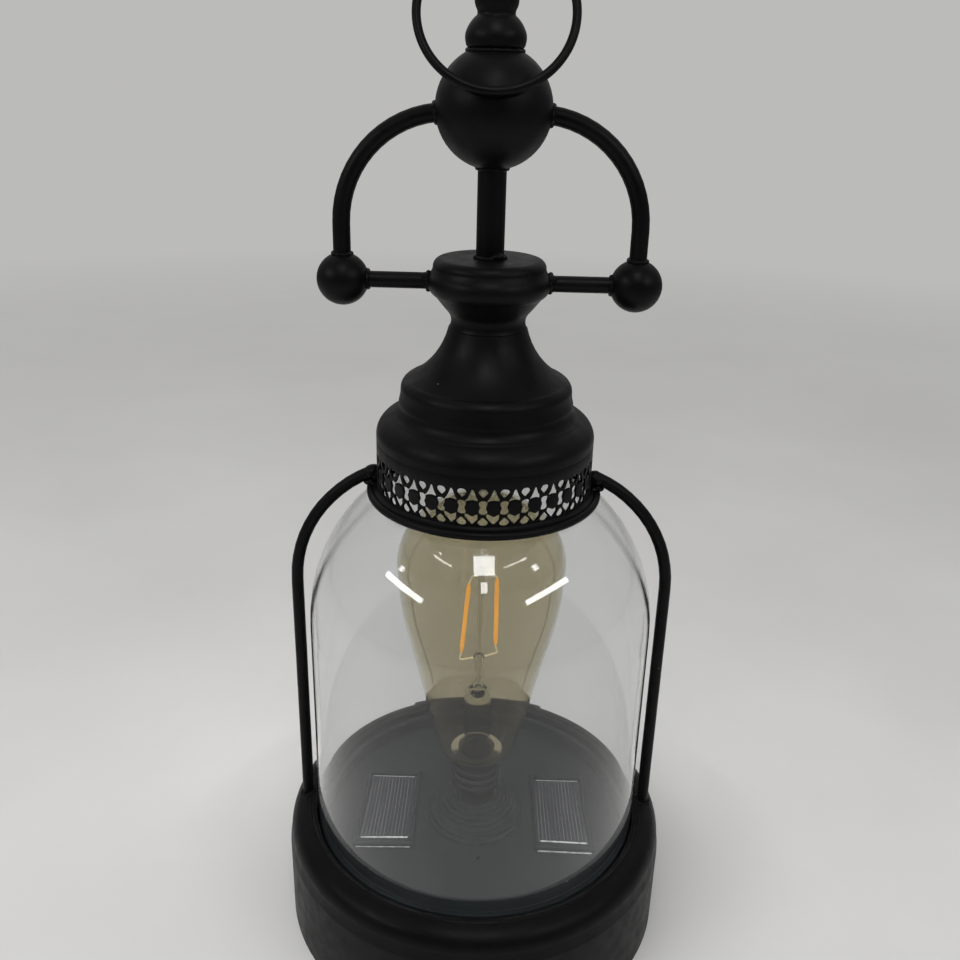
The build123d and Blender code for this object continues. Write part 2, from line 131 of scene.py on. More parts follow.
class Look:
    """A Principled material, with short calls for the nodes that give it detail."""

    def __init__(self, name, colour, roughness, **sockets):
        self.material = bpy.data.materials.new(name)
        self.material.use_nodes = True
        self.tree = self.material.node_tree
        self.shader = self.tree.nodes["Principled BSDF"]
        self.material.diffuse_color = (*colour, 1)
        self.set("Base Color", (*colour, 1))
        self.set("Roughness", roughness)
        for socket, value in sockets.items():
            self.set(socket.replace("_", " "), value)
        self.place = self.tree.nodes.new("ShaderNodeTexCoord").outputs["Object"]

    def set(self, socket, value):
        self.shader.inputs[socket].default_value = value

    def link(self, value, socket):
        self.tree.links.new(value, socket)

    def feed(self, value, socket):
        self.link(value, self.shader.inputs[socket])

    def stretched(self, x, y, z):
        """Object coordinates scaled unevenly, for brushing, grooves and grids."""
        node = self.tree.nodes.new("ShaderNodeMapping")
        node.inputs["Scale"].default_value = (x, y, z)
        self.link(self.place, node.inputs["Vector"])
        return node.outputs["Vector"]

    def noise(self, size, detail=3.0, roughness=0.5, vector=None):
        """Noise whose lumps are about size millimetres wide."""
        node = self.tree.nodes.new("ShaderNodeTexNoise")
        node.inputs["Scale"].default_value = 1 / (size * MM)
        node.inputs["Detail"].default_value = detail
        node.inputs["Roughness"].default_value = roughness
        self.link(self.place if vector is None else vector, node.inputs["Vector"])
        return node.outputs["Fac"]

    def cells(self, size):
        """Outputs of a cell pattern whose cells are about size millimetres wide."""
        node = self.tree.nodes.new("ShaderNodeTexVoronoi")
        node.inputs["Scale"].default_value = 1 / (size * MM)
        self.link(self.place, node.inputs["Vector"])
        return node.outputs

    def ramp(self, value, low, high, to_low=0.0, to_high=1.0):
        """Value between low and high, moved to to_low and to_high, and held outside them."""
        node = self.tree.nodes.new("ShaderNodeMapRange")
        for socket, number in zip(RANGE_SOCKETS, (low, high, to_low, to_high)):
            node.inputs[socket].default_value = number
        self.link(value, node.inputs["Value"])
        return node.outputs["Result"]

    def maths(self, kind, a, b):
        node = self.tree.nodes.new("ShaderNodeMath")
        node.operation = kind
        for socket, value in zip(node.inputs, (a, b)):
            if isinstance(value, (int, float)):
                socket.default_value = value
            else:
                self.link(value, socket)
        return node.outputs["Value"]

    def blend(self, factor, a, b):
        """Colour a where factor is 0 and b where it is 1. Each is a colour or a socket."""
        node = self.tree.nodes.new("ShaderNodeMix")
        node.data_type = "RGBA"
        self.link(factor, node.inputs["Factor"])
        for socket, value in ((node.inputs[6], a), (node.inputs[7], b)):
            if isinstance(value, tuple):
                socket.default_value = (*value, 1)
            else:
                self.link(value, socket)
        return node.outputs[2]

    def mottle(self, size, detail, a, b, low=0.3, high=0.7):
        """Colour a with soft patches of colour b."""
        return self.blend(self.ramp(self.noise(size, detail), low, high), a, b)

    def bump(self, height, depth, strength=1.0):
        """Bumps of about depth millimetres."""
        node = self.tree.nodes.new("ShaderNodeBump")
        node.inputs["Strength"].default_value = strength
        node.inputs["Distance"].default_value = depth * MM
        self.link(height, node.inputs["Height"])
        self.feed(node.outputs["Normal"], "Normal")

    def dust(self, spacing, share, size):
        """1 on sparse specks and 0 elsewhere: share is the part of the cells that have one."""
        cells = self.cells(spacing)
        speck = self.ramp(cells["Distance"], 0.6 * size / spacing, size / spacing, 1, 0)
        split = self.tree.nodes.new("ShaderNodeSeparateColor")
        self.link(cells["Color"], split.inputs["Color"])
        chosen = self.maths("LESS_THAN", split.outputs["Red"], share)
        return self.maths("MULTIPLY", speck, chosen)


def black_metal():
    """Satin black powder coat with a fine orange peel and a little dust."""
    look = Look("black_metal", (0.0022, 0.0022, 0.0025), 0.4, Specular_IOR_Level=0.115)
    paint = look.mottle(22, 4, (0.0017, 0.0017, 0.002), (0.0032, 0.0032, 0.0036), low=0.35)
    look.feed(look.blend(look.dust(5.5, 0.2, 0.22), paint, (0.22, 0.215, 0.2)), "Base Color")
    look.feed(look.ramp(look.noise(6, 5), 0.3, 0.75, 0.36, 0.52), "Roughness")
    look.bump(look.noise(0.55, 2), 0.035, 0.6)
    return look.material


def clear_glass():
    """Blown glass of the dome, with slow waves in its surface."""
    look = Look("clear_glass", (0.935, 0.945, 0.942), 0.0, Transmission_Weight=1.0, IOR=1.45)
    look.bump(look.noise(55, 1), 0.5, 0.16)
    return look.material


def lamp_glass():
    """Thin pale glass of the stem inside the bulb."""
    look = Look("lamp_glass", (0.93, 0.925, 0.89), 0.0, Transmission_Weight=1.0, IOR=1.3)
    look.bump(look.noise(5, 2), 0.12, 0.3)
    return look.material


def amber_glass():
    """Amber glass of the bulb, slightly uneven in its tint."""
    look = Look("amber_glass", (0.8, 0.75, 0.6), 0.0, Transmission_Weight=1.0, IOR=1.4)
    look.feed(look.mottle(40, 2, (0.7, 0.655, 0.52), (0.74, 0.695, 0.56)), "Base Color")
    look.bump(look.noise(30, 1), 0.25, 0.2)
    return look.material


def moulded_plastic(name, light, dark, roughness, grain=0.35, depth=0.02):
    """A Look of moulded plastic, with a fine spark texture and a softly uneven colour."""
    look = Look(name, light, roughness, Specular_IOR_Level=0.12)
    look.feed(look.mottle(16, 4, dark, light), "Base Color")
    uneven = look.ramp(look.noise(3, 4), 0.3, 0.7, roughness - 0.07, roughness + 0.07)
    look.feed(uneven, "Roughness")
    look.bump(look.noise(grain, 2), depth, 0.7)
    return look


def deck_plastic():
    """Slate-grey plastic with a little pale dust."""
    dark, light = (0.0078, 0.0096, 0.0106), (0.0112, 0.0136, 0.0146)
    look = moulded_plastic("deck_plastic", light, dark, 0.42, 0.35, 0.007)
    look.set("Specular IOR Level", 0.1)
    grey = look.mottle(16, 4, dark, light)
    look.feed(look.blend(look.dust(7, 0.22, 0.3), grey, (0.3, 0.3, 0.285)), "Base Color")
    return look.material


def solar_cell():
    """Purple-grey silicon with fine silver lines that run from front to back."""
    pitch = 1.45
    shine = {"Specular_IOR_Level": 0.1, "Coat_Weight": 0.06, "Coat_Roughness": 0.2}
    look = Look("solar_cell", (0.09, 0.09, 0.125), 0.4, **shine)
    split = look.tree.nodes.new("ShaderNodeSeparateXYZ")
    look.link(look.place, split.inputs["Vector"])
    across = look.maths("FRACT", look.maths("MULTIPLY", split.outputs["X"], 1 / (pitch * MM)), 0)
    away = look.maths("ABSOLUTE", look.maths("SUBTRACT", across, 0.5), 0)
    line = look.ramp(away, 0.07, 0.16, 1, 0)
    uneven = look.ramp(look.noise(3, 3, vector=look.stretched(1, 0.08, 1)), 0.4, 0.6, 0.15, 1)
    grain = look.mottle(9, 3, (0.01, 0.0105, 0.0135), (0.016, 0.0165, 0.021))
    striped = look.blend(look.maths("MULTIPLY", line, uneven), grain, (0.11, 0.11, 0.125))
    look.feed(striped, "Base Color")
    look.bump(look.noise(14, 2), 0.02, 0.4)
    return look.material


def filament_coat():
    """Orange phosphor coat, with a weak emission: a painted glow that brightens it whatever light falls
    on it.
    """
    # painted glow: this emission brightens the coat although the lamp is not lit
    glow = {"Emission_Color": (1, 0.42, 0.045, 1), "Emission_Strength": 0.35}
    look = Look("filament", (1.0, 0.5, 0.07), 0.5, **glow)
    look.feed(look.mottle(0.9, 3, (1.0, 0.46, 0.05), (1.0, 0.58, 0.12)), "Base Color")
    look.feed(look.ramp(look.noise(0.6, 2), 0.3, 0.7, 0.4, 0.6), "Roughness")
    look.bump(look.noise(0.35, 2), 0.04, 0.8)
    return look.material


def bright_metal(name, colour, roughness, brushed, metallic):
    """Bare or plated metal with fine drawn lines and small stains."""
    look = Look(name, colour, roughness, Metallic=metallic)
    dull = tuple(0.72 * c for c in colour)
    look.feed(look.mottle(4, 5, colour, dull, 0.45, 0.75), "Base Color")
    lines = look.noise(1.2, 3, vector=look.stretched(*brushed))
    look.feed(look.ramp(lines, 0.3, 0.7, roughness - 0.08, roughness + 0.12), "Roughness")
    look.bump(lines, 0.01, 0.6)
    return look.material


def silver_print_and_highlight():
    """The printed silver bar along the end of a solar cell, also used for the painted highlight along
    the cell frames' front foot.
    """
    look = Look("silver_print_and_highlight", (0.75, 0.75, 0.74), 0.35, Metallic=0.6)
    worn = look.mottle(1.8, 4, (0.85, 0.85, 0.84), (0.4, 0.4, 0.4), 0.4, 0.62)
    look.feed(worn, "Base Color")
    look.bump(look.noise(0.6, 3), 0.05, 0.8)
    return look.material


def cover_plastic():
    """Black plastic with a coarser grain, on the underside."""
    light, dark = (0.03, 0.03, 0.032), (0.022, 0.022, 0.024)
    return moulded_plastic("cover_plastic", light, dark, 0.5, 0.6, 0.05).material


def battery_sleeve():
    """Green shrink sleeve with soft length-wise folds."""
    look = moulded_plastic("battery_sleeve", (0.1, 0.33, 0.14), (0.08, 0.27, 0.11), 0.3, 2.5, 0.03)
    look.set("Coat Weight", 0.4)
    return look.material


def board_green():
    """Green solder mask over copper tracks."""
    look = Look("board_green", (0.02, 0.13, 0.05), 0.32, Coat_Weight=0.3)
    tracks = look.ramp(look.cells(3.4)["Distance"], 0.25, 0.3)
    look.feed(look.blend(tracks, (0.02, 0.11, 0.045), (0.035, 0.19, 0.075)), "Base Color")
    look.bump(tracks, 0.04, 0.8)
    return look.material


# light colour, dark colour and roughness
plain_plastics = {
    "holder_plastic": ((0.008, 0.009, 0.0088), (0.006, 0.0068, 0.0066), 0.4),
    "gasket_rubber": ((0.025, 0.025, 0.025), (0.018, 0.018, 0.018), 0.7),
    "knob_plastic": ((0.02, 0.02, 0.021), (0.014, 0.014, 0.015), 0.35),
    "component_plastic": ((0.03, 0.03, 0.034), (0.02, 0.02, 0.023), 0.3),
    "lead_sleeve": ((0.42, 0.03, 0.025), (0.34, 0.022, 0.02), 0.45),
}
# colour, roughness, stretch of the drawn lines, and how metallic it is
metals = {
    "support_wire": ((1.0, 0.93, 0.72), 0.45, (1, 1, 1), 0.3),
    "switch_steel": ((0.55, 0.55, 0.54), 0.3, (1, 0.1, 1), 1.0),
    "screw_steel": ((0.6, 0.6, 0.58), 0.28, (1, 1, 1), 1.0),
    "contact_metal": ((0.66, 0.64, 0.58), 0.25, (1, 1, 0.1), 1.0),
}
# one material for each material slot of the record
looks = {
    "black_metal": black_metal(),
    "clear_glass": clear_glass(),
    "lamp_glass": lamp_glass(),
    "amber_glass": amber_glass(),
    "deck_plastic": deck_plastic(),
    "solar_cell": solar_cell(),
    "filament": filament_coat(),
    "cover_plastic": cover_plastic(),
    "battery_sleeve": battery_sleeve(),
    "board_green": board_green(),
}
for name, (light, dark, roughness) in plain_plastics.items():
    looks[name] = moulded_plastic(name, light, dark, roughness).material
for name, settings in metals.items():
    looks[name] = bright_metal(name, *settings)
# also the painted highlight strip along the cell frames' front foot
silver = silver_print_and_highlight()  # the cells' printed bars, which have no slot of their own


# ---- meshes -------------------------------------------------------------------------


def arc(start, middle, end):
    """Points along the arc through three points, without its start."""
    (ax, ay), (bx, by), (cx, cy) = start, middle, end
    d = 2 * (ax * (by - cy) + bx * (cy - ay) + cx * (ay - by))
    a2, b2, c2 = ax * ax + ay * ay, bx * bx + by * by, cx * cx + cy * cy
    ux = (a2 * (by - cy) + b2 * (cy - ay) + c2 * (ay - by)) / d
    uy = (a2 * (cx - bx) + b2 * (ax - cx) + c2 * (bx - ax)) / d
    first = math.atan2(ay - uy, ax - ux)
    turn_middle = (math.atan2(by - uy, bx - ux) - first) % math.tau
    turn_end = (math.atan2(cy - uy, cx - ux) - first) % math.tau
    if turn_middle > turn_end:
        turn_end -= math.tau
    count = max(2, math.ceil(abs(turn_end) / ARC_STEP))
    radius = math.hypot(ax - ux, ay - uy)
    points = []
    for k in range(1, count + 1):
        angle = first + turn_end * k / count
        points.append((ux + radius * math.cos(angle), uy + radius * math.sin(angle)))
    return points


def outline(start, *steps):
    """Points of an outline. A step is a corner, or (middle, end) for an arc."""
    points = [start]
    for step in steps:
        if isinstance(step[0], tuple):
            points += arc(points[-1], *step)
        else:
            points.append(step)
    return points


def make_mesh(name, vertices, faces):
    """A smooth mesh in metres of vertices in millimetres."""
    mesh = bpy.data.meshes.new(name)
    mesh.from_pydata([Vector(v) * MM for v in vertices], [], faces)
    mesh.validate()
    mesh.update()
    for polygon in mesh.polygons:
        polygon.use_smooth = True
    return mesh


def piece(name, mesh, look, body="lantern", replaces=(), bevel=0.0, sharp=32):
    """A finished piece that rides on a body. Bevel is the radius of its edges, in mm."""
    thing = bpy.data.objects.new(name, mesh)
    bpy.context.scene.collection.objects.link(thing)
    mesh.materials.append(looks.get(look, silver))
    if bevel:
        edges = thing.modifiers.new("edges", "BEVEL")
        edges.width = bevel * MM
        edges.segments = 3
        edges.limit_method = "ANGLE"
        edges.angle_limit = math.radians(sharp)
        even = thing.modifiers.new("even", "WEIGHTED_NORMAL")
        even.keep_sharp = True
    else:
        mesh.set_sharp_from_angle(angle=math.radians(sharp))
    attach(thing, body)
    if replaces:
        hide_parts(*replaces)
    return thing


def remade(node, shape, look, **settings):
    """A finer piece in the place of a CAD node. Shape is its vertices and faces."""
    name = f"{node}_visual"
    return piece(name, make_mesh(name, *shape), look, replaces=[node], **settings)


def lathe(points, turns=LATHE_TURNS, closed=True):
    """Vertices and faces of an outline of (radius, height) points turned about the axis."""
    rings = []
    vertices = []
    for r, z in points:
        if abs(r) < 1e-6:
            rings.append([len(vertices)] * turns)
            vertices.append((0, 0, z))
            continue
        rings.append(list(range(len(vertices), len(vertices) + turns)))
        for k in range(turns):
            angle = math.tau * k / turns
            vertices.append((r * math.cos(angle), r * math.sin(angle), z))
    faces = []
    pairs = list(zip(rings, rings[1:] + rings[:1])) if closed else list(zip(rings, rings[1:]))
    for low, high in pairs:
        for k in range(turns):
            after = (k + 1) % turns
            corners = list(dict.fromkeys([low[k], low[after], high[after], high[k]]))
            if len(corners) > 2:
                faces.append(corners)
    return vertices, faces


def moved(vertices, transform):
    return [transform @ Vector(v) for v in vertices]


def joined(*parts):
    """Several (vertices, faces) as one."""
    vertices = []
    faces = []
    for part_vertices, part_faces in parts:
        first = len(vertices)
        vertices += list(part_vertices)
        faces += [[first + k for k in face] for face in part_faces]
    return vertices, faces


def tube(path, radius, closed=False, sides=32, dome=0.0):
    """A round bar along a path of points. Radius is a number, or one for each point."""
    path = [Vector(p) for p in path]
    count = len(path)
    radii = radius if isinstance(radius, list) else [radius] * count
    tangents = []
    for k in range(count):
        before = path[k - 1] if closed or k > 0 else path[k]
        after = path[(k + 1) % count] if closed or k < count - 1 else path[k]
        tangents.append((after - before).normalized())
    side = tangents[0].orthogonal().normalized()
    sides_at = [side]
    for k in range(1, count):
        side = (side - tangents[k] * side.dot(tangents[k])).normalized()
        sides_at.append(side)
    vertices = []
    for p, tangent, side, r in zip(path, tangents, sides_at, radii):
        up = tangent.cross(side)
        for j in range(sides):
            angle = math.tau * j / sides
            vertices.append(p + r * (side * math.cos(angle) + up * math.sin(angle)))
    faces = []
    # a closed path's last ring may be turned against its first, so the nearest corners meet
    shift = 0
    if closed:
        first = vertices[0]
        last_ring = vertices[-sides:]
        shift = min(range(sides), key=lambda j: (last_ring[j] - first).length)
    for k in range(count if closed else count - 1):
        base, top = k * sides, ((k + 1) % count) * sides
        turn = shift if closed and k == count - 1 else 0
        for j in range(sides):
            a, b = (j + turn) % sides, (j + 1 + turn) % sides
            c, d = (j + 1) % sides, j
            faces.append([base + a, base + b, top + c, top + d])
    if not closed:
        last = len(vertices) - sides
        for end, ring in ((0, range(sides)), (-1, range(last, last + sides))):
            tip = len(vertices)
            vertices.append(path[end] + tangents[end] * (dome if end else -dome))
            for j in range(sides):
                a, b = ring[j], ring[(j + 1) % sides]
                faces.append([b, a, tip] if end == 0 else [a, b, tip])
    return vertices, faces


def bent_path(*runs):
    """Points along straight runs and arcs in the XZ plane."""
    points = outline(*runs)
    dense = []
    for (ax, az), (bx, bz) in zip(points, points[1:]):
        count = max(1, math.ceil(math.hypot(bx - ax, bz - az) / PATH_STEP))
        for k in range(count):
            dense.append((ax + (bx - ax) * k / count, 0, az + (bz - az) * k / count))
    dense.append((points[-1][0], 0, points[-1][1]))
    return dense


def ring_path(centre, normal, radius, count=48):
    """Points of a circle."""
    turn = Vector(normal).to_track_quat("Z", "Y").to_matrix()
    points = []
    for k in range(count):
        angle = math.tau * k / count
        spoke = Vector((radius * math.cos(angle), radius * math.sin(angle), 0))
        points.append(Vector(centre) + turn @ spoke)
    return points


def weld_bead(centre, normal, radius, size, seed, lumps=7):
    """A hand-laid weld round a rod's end: an uneven ring of overlapping drops."""
    rng = random.Random(seed)
    phase = rng.uniform(0, math.tau)
    path = ring_path(centre, normal, radius, 56)
    sizes = []
    for k, p in enumerate(path):
        wave = abs(math.sin(lumps * 0.5 * (math.tau * k / len(path)) + phase))
        sizes.append(size * (0.72 + 0.28 * wave + 0.3 * noise.noise(p * 0.9 + Vector((seed, 0, 0)))))
    vertices, faces = tube(path, sizes, closed=True, sides=18)
    return roughened(vertices, 0.12 * size, 1.6, seed), faces


def roughened(vertices, depth, size, seed):
    """Vertices moved a little by smooth noise."""
    offset = Vector((seed * 7.1, seed * 3.3, seed * 1.7))
    return [Vector(v) + depth * noise.noise_vector(Vector(v) / size + offset) for v in vertices]


def lump(centre, radii, seed):
    """A smooth uneven drop of weld metal."""
    rows, turns = 12, 20
    points = [(math.sin(math.pi * k / rows), -math.cos(math.pi * k / rows)) for k in range(rows + 1)]
    points = [(0, points[0][1])] + points[1:-1] + [(0, points[-1][1])]
    vertices, faces = lathe(points, turns, closed=False)
    size = min(radii)
    vertices = [Vector((v[0] * radii[0], v[1] * radii[1], v[2] * radii[2])) for v in vertices]
    vertices = [v * (1 + 0.22 * noise.noise(v / size * 0.8 + Vector((seed, 0, seed)))) for v in vertices]
    return moved(vertices, Matrix.Translation(centre)), faces


def mirrored(part):
    vertices, faces = part
    return [(-v[0], v[1], v[2]) for v in vertices], [face[::-1] for face in faces]


# ---- base ---------------------------------------------------------------------------


def make_base():
    points = outline(
        (base_radius, 0.0),
        (base_radius, skirt_height - 0.6),
        ((base_radius - 0.04, skirt_height), (base_radius - 0.16, skirt_height + 0.6)),
        (base_radius - 0.7, skirt_height + 4.3),
        ((75.0, 44.6), (70.0, 46.9)),
        ((lip_radius, lip_height), (68.4, 46.8)),
        (opening_radius + 0.5, 46.4),
        ((opening_radius + 0.1, 46.2), (opening_radius, 45.8)),
        (opening_radius, 41.8),
        (opening_radius + sheet, 41.8),
        (opening_radius + sheet, 45.2),
        (70.0, 45.5),
        ((74.1, 43.6), (base_radius - 0.7 - sheet, skirt_height + 3.9)),
        (base_radius - sheet, skirt_height),
        (base_radius - sheet, 0.0),
    )
    remade("base_shell", lathe(points, 240), "black_metal", bevel=0.25)


make_base()

# ---- side arms, neck ring and their welds -------------------------------------------


def make_side_arms():
    centre_x = arm_x - arm_bend_radius
    middle = arm_sweep / 2

    def on_bend(angle):
        return (
            centre_x + arm_bend_radius * math.cos(angle),
            arm_bend_height + arm_bend_radius * math.sin(angle),
        )

    path = bent_path(
        (arm_x, skirt_height + 4),
        (arm_x, arm_bend_height),
        (on_bend(middle), on_bend(arm_sweep)),
    )
    arm = tube(path, arm_radius)
    arm = (roughened(arm[0], 0.05, 9, 3), arm[1])
    remade("side_arm_right", arm, "black_metal")
    remade("side_arm_left", mirrored(arm), "black_metal")


def make_neck_ring():
    path = ring_path((0, 0, ring_height), (0, 0, 1), ring_radius, 200)
    remade("neck_ring", tube(path, ring_wire, closed=True, sides=28), "black_metal")


def make_arm_welds():
    """Beads at the side arms' feet, and drops where their ends meet the neck ring."""
    beads = [
        weld_bead((arm_x, 0, arm_foot), (0.35, 0, 1), arm_radius + 0.5, 1.1, 11),
        weld_bead((-arm_x, 0, arm_foot), (-0.35, 0, 1), arm_radius + 0.5, 1.1, 12),
    ]
    end_x = arm_x - arm_bend_radius * (1 - math.cos(arm_sweep))
    end_height = arm_bend_height + arm_bend_radius * math.sin(arm_sweep)
    for side in (-1, 1):
        beads.append(lump((side * (end_x - 0.3), 0, end_height - 0.1), (3.2, 2.9, 2.55), 56 + side))
        beads.append(lump((side * (end_x - 2.2), 0, end_height - 1.2), (2.6, 2.6, 2.4), 66 + side))
        # drops on the ring: how far out, forward or back, and up they sit, their radii and seed
        for out, y, rise, radii, seed in (
            (0.4, 0.4, 1.2, (2.7, 2.6, 1.7), 20),
            (-0.8, -1.8, 0.6, (1.8, 1.7, 1.4), 24),
            (-0.6, 1.9, 0.4, (1.7, 1.9, 1.3), 28),
        ):
            beads.append(lump((side * (ring_radius + out), y, ring_height + rise), radii, seed + side))
    piece("arm_welds", make_mesh("arm_welds", *joined(*beads)), "black_metal")


make_side_arms()
make_neck_ring()
make_arm_welds()

# ---- pierced band -------------------------------------------------------------------


def smooth_loop(points, rounds=2):
    """Closed outline with its corners cut and cut again, which rounds them."""
    for _ in range(rounds):
        cut = []
        for a, b in zip(points, points[1:] + points[:1]):
            cut += [a.lerp(b, 0.2), a.lerp(b, 0.8)]
        points = cut
    return points


def both_sides(half):
    """A closed outline from the corners of its right half, listed upwards."""
    return half + [(-x, y) for x, y in reversed(half) if x > 0]


def hole_shapes(pitch):
    """Each hole of one repeat: how far along it stands, its height and its outline."""
    peanut = both_sides(
        [(0.55, -2.6), (1.5, -2.0), (1.35, -0.9), (0.9, 0), (1.35, 0.9), (1.5, 2.0), (0.55, 2.6)]
    )
    upper_gem = both_sides([(0, -1.65), (0.6, -1.2), (1.85, 0.2), (1.0, 1.55)])
    lower_gem = both_sides([(1.0, -1.55), (1.9, -0.2), (0.6, 1.2), (0, 1.65)])
    triangle = both_sides([(0, 2.55), (1.2, 2.4), (2.75, 1.85), (1.25, 3.9), (0.35, 6.5)])
    heart = both_sides([(0.2, -6.1), (2.8, -3.2), (2.3, -2.05), (1.2, -2.5), (0, -3.2)])
    half = pitch / 2
    return [
        (0, 0, peanut),
        (0, 5.2, upper_gem),
        (0, -5.1, lower_gem),
        (half, 0, triangle),
        (half, 0, heart),
    ]


def make_lattice_band():
    """Flat net of one repeat, pierced, then copied round and given its thickness."""
    radius = band_radius
    pitch = math.tau * radius / lattice_repeats
    middle = band_top - 10.8
    left, right = -pitch / 4, 3 * pitch / 4
    low, high = band_bottom - middle, band_top - middle
    across, upwards = 4, 8
    edge = [(left + pitch * k / across, low) for k in range(across)]
    edge += [(right, low + (high - low) * k / upwards) for k in range(upwards)]
    edge += [(right - pitch * k / across, high) for k in range(across)]
    edge += [(left, high - (high - low) * k / upwards) for k in range(upwards)]
    points = [Vector(p) for p in edge]
    loops = [list(range(len(points)))]
    for shift, up, shape in hole_shapes(pitch):
        loop = smooth_loop([Vector((x + shift, y + up)) for x, y in shape])
        loops.append(list(range(len(points), len(points) + len(loop))))
        points += loop
    flat, _, triangles, _, _, origins = delaunay_2d_cdt(points, [], loops, 2, 1e-5)
    kept = [t for t, where in zip(triangles, origins) if where == [0]]
    vertices, faces = [], []
    for k in range(lattice_repeats):
        first = len(vertices)
        turn = math.tau * k / lattice_repeats - math.pi / 2
        for p in flat:
            angle = turn + p.x / radius
            vertices.append((radius * math.cos(angle), radius * math.sin(angle), middle + p.y))
        faces += [[first + c for c in t] for t in kept]
    band = remade("lattice_band", (vertices, faces), "black_metal", sharp=40)
    weld = band.modifiers.new("weld", "WELD")
    weld.merge_threshold = 0.02 * MM
    thick = band.modifiers.new("thick", "SOLIDIFY")
    thick.thickness = band_wall * MM
    thick.offset = -1
    edges = band.modifiers.new("edges", "BEVEL")
    edges.width = 0.12 * MM
    edges.segments = 2
    edges.limit_method = "ANGLE"
    edges.angle_limit = math.radians(50)
    flange = outline(
        (radius - band_wall, band_bottom),
        (ring_radius, band_bottom),
        (ring_radius, band_bottom + 0.5),
        ((radius + 0.5, band_bottom + 0.9), (radius - 0.05, band_bottom + 1.6)),
        (radius - band_wall, band_bottom + 1.6),
    )
    piece("band_flange", make_mesh("band_flange", *lathe(flange)), "black_metal")


make_lattice_band()

# ---- roof and collar ----------------------------------------------------------------


def make_roof():
    points = outline(
        (band_radius, band_top),
        (band_radius, 212.0),
        ((38.3, 215.4), (34.3, 218.5)),
        ((33.6, 219.1), (33.0, 219.4)),
        ((31.7, 221.2), (31.3, 223.9)),
        ((30.8, 226.0), (30.6, 228.6)),
        ((29.8, 230.8), (27.6, 232.2)),
        ((19.2, 239.4), (13.8, waist_height)),
        (12.8, waist_height),
        ((18.2, 238.9), (26.6, 231.2)),
        (29.4, 229.0),
        (29.6, 226.0),
        (30.2, 221.6),
        (32.2, 218.4),
        (36.8, 214.6),
        (band_radius - 1, 212.0),
        (band_radius - 1, band_top),
    )
    remade("roof", lathe(points), "black_metal", bevel=0.2)


def make_collar():
    points = outline(
        (13.6, waist_height),
        ((13.0, 253.4), (14.2, 256.2)),
        ((16.4, 258.8), (18.6, 261.6)),
        ((21.3, collar_height), (20.3, 269.2)),
        (19.9, 269.9),
        (19.4, 271.1),
        ((18.7, 273.4), (16.6, collar_top - 0.2)),
        (0, collar_top),
        (0, collar_top - 1),
        (16.0, collar_top - 1.3),
        (18.3, 271.0),
        (20.1, collar_height),
        (17.6, 262.2),
        (13.1, 256.8),
        (11.9, 253.4),
        (12.6, waist_height),
    )
    remade("collar", lathe(points), "black_metal", bevel=0.18)


make_roof()
make_collar()

# ---- balls, rods, scroll arms and stem ----------------------------------------------


def ball(centre, radius):
    points = [(0.0, -radius)] + arc((0.0, -radius), (radius, 0.0), (0.0, radius))
    points[-1] = (0.0, radius)
    vertices, faces = lathe(points, 96, closed=False)
    return moved(vertices, Matrix.Translation(centre)), faces


def make_balls():
    remade("big_ball", ball(big_ball_centre, big_ball_radius), "black_metal")
    for side, sign in (("right", 1), ("left", -1)):
        centre = (sign * small_ball_centre.x, 0, collar_height)
        remade(f"small_ball_{side}", ball(centre, small_ball_radius), "black_metal")


def make_rods():
    heights = (collar_top - 1, 290, big_ball_centre.z - 10)
    remade("stem", tube([(0, 0, z) for z in heights], stem_radius, sides=48), "black_metal")
    bend_x = small_ball_centre.x - scroll_bend
    bend_z = scroll_top - scroll_bend
    half = math.sqrt(0.5) * scroll_bend
    scroll = tube(
        bent_path(
            (small_ball_centre.x, collar_height + 4),
            (small_ball_centre.x, bend_z),
            ((bend_x + half, bend_z + half), (bend_x, scroll_top)),
        ),
        scroll_radius,
    )
    cross = tube([(x, 0, collar_height) for x in (17, 30, 45)], cross_rod_radius)
    for name, part in (("scroll_arm", scroll), ("cross_rod", cross)):
        remade(f"{name}_right", part, "black_metal")
        remade(f"{name}_left", mirrored(part), "black_metal")


def make_top_welds():
    """Welds where the rods meet the collar and the balls, and at the stem's two ends."""
    ball_x = small_ball_centre.x
    foot = small_ball_radius * 0.95
    rod = cross_rod_radius + 0.1
    upright = stem_radius + 0.2
    up = (0, 0, 1)
    beads = []
    for side in (-1, 1):
        out = (side, 0, 0)
        beads.append(weld_bead((side * 20.9, 0, collar_height), out, rod, 0.95, 30 + side))
        beads.append(lump((side * 21.4, -1.6, collar_height + 1.8), (1.9, 1.9, 1.5), 34 + side))
        rod_end = (side * (ball_x - foot), 0, collar_height)
        beads.append(weld_bead(rod_end, out, rod, 0.8, 38 + side))
        arm_start = (side * ball_x, 0, collar_height + foot)
        beads.append(weld_bead(arm_start, up, scroll_radius + 0.1, 0.8, 42 + side))
        arm_end = (side * big_ball_radius * 0.985, 0, scroll_top - 0.4)
        beads.append(weld_bead(arm_end, (side, 0, -0.12), scroll_radius, 0.85, 46 + side))
    beads.append(weld_bead((0, 0, collar_top + 0.2), up, upright, 0.9, 50, lumps=9))
    beads.append(lump((2.6, -4.4, collar_top + 0.9), (2.3, 1.9, 1.7), 51))
    ball_foot = (0, 0, big_ball_centre.z - big_ball_radius * 0.965)
    beads.append(weld_bead(ball_foot, up, upright, 0.8, 52, lumps=9))
    piece("top_welds", make_mesh("top_welds", *joined(*beads)), "black_metal")


make_balls()
make_rods()
make_top_welds()

# ---- finial, eye and hanging ring ---------------------------------------------------


